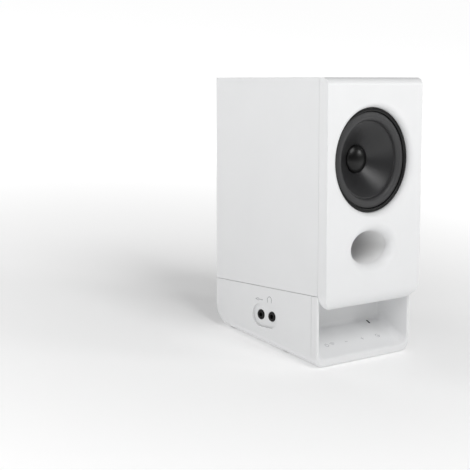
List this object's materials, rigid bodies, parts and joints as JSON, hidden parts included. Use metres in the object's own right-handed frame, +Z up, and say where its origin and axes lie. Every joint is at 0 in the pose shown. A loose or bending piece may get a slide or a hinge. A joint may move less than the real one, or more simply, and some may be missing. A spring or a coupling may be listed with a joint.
{
  "type": "powered bookshelf speaker",
  "caption": "Upright white desktop speaker leaning back on a wedge base, with a recessed dark driver above an oval port and an open phone niche with touch symbols below.",
  "frame": {"origin": "middle of the footprint of the bounding box, on the surface that the feet stand on", "axes": "-Y is the front, where the driver faces, +X is the speaker's right-hand side seen from the front, +Z is up"},
  "size_m": [0.1, 0.1462, 0.2111],
  "materials": {
    "white_painted_board": "satin white paint over board",
    "white_plastic": "satin white moulding",
    "black_plastic": "black, satin",
    "black_rubber": "black, matt",
    "coated_cone": "dark coated cone, matt",
    "gloss_black": "black, glossy",
    "plated_steel": "zinc plated",
    "black_steel": "black, satin",
    "ferrite": "dark grey, matt",
    "copper": "enamelled copper wire",
    "treated_cloth": "resin-treated cloth",
    "circuit_board": "green solder resist",
    "aluminium": "satin",
    "grey_foam": "open-cell foam",
    "smoked_clear": "smoked clear",
    "red_sleeve": "red wire sleeve"
  },
  "bodies": {
    "cabinet": {"cabinet_sleeve": "white_painted_board", "back_panel": "white_painted_board", "front_baffle": "white_plastic", "port_tube": "white_plastic", "base_housing": "white_plastic", "phone_tray": "white_plastic", "jack_bezel": "white_plastic", "damping_pad": "grey_foam", "driver_trim_ring": "black_plastic", "driver_gasket": "grey_foam", "driver_basket": "black_steel", "cone_surround": "black_rubber", "spider": "treated_cloth", "top_plate": "plated_steel", "ring_magnet": "ferrite", "pole_yoke": "plated_steel", "terminal_strip": "circuit_board", "status_light": "smoked_clear", "touch_board": "circuit_board", "line_in_socket": "black_plastic", "headphone_socket": "black_plastic", "jack_board": "circuit_board", "amplifier_board": "circuit_board", "heat_sink": "aluminium", "filter_capacitor_1": "gloss_black", "filter_capacitor_2": "gloss_black", "output_coil_1": "copper", "output_coil_2": "copper", "wireless_module": "plated_steel", "connector_plate": "black_plastic", "power_inlet": "black_plastic", "link_socket": "black_plastic", "usb_socket": "plated_steel", "wire_grommet": "black_rubber", "driver_lead_red": "red_sleeve", "driver_lead_black": "black_rubber", "driver_screw_1": "black_steel", "base_screw_1": "black_steel", "panel_screw_1": "black_steel", "rubber_foot_1": "black_rubber", "driver_screw_2": "black_steel", "base_screw_2": "black_steel", "panel_screw_2": "black_steel", "rubber_foot_2": "black_rubber", "driver_screw_3": "black_steel", "base_screw_3": "black_steel", "panel_screw_3": "black_steel", "rubber_foot_3": "black_rubber", "driver_screw_4": "black_steel", "base_screw_4": "black_steel", "panel_screw_4": "black_steel", "rubber_foot_4": "black_rubber"},
    "cone_assembly": {"cone": "coated_cone", "dust_cap": "gloss_black", "coil_former": "aluminium", "voice_coil": "copper"}
  },
  "joints": [
    {"name": "cone_travel", "type": "slide", "parent": "cabinet", "child": "cone_assembly", "axis": [0, -0.9899, 0.1418], "range_m": [-0.003, 0.003], "stiffness_N_per_m": 1200, "deforming": ["cone_surround", "spider"]}
  ]
}
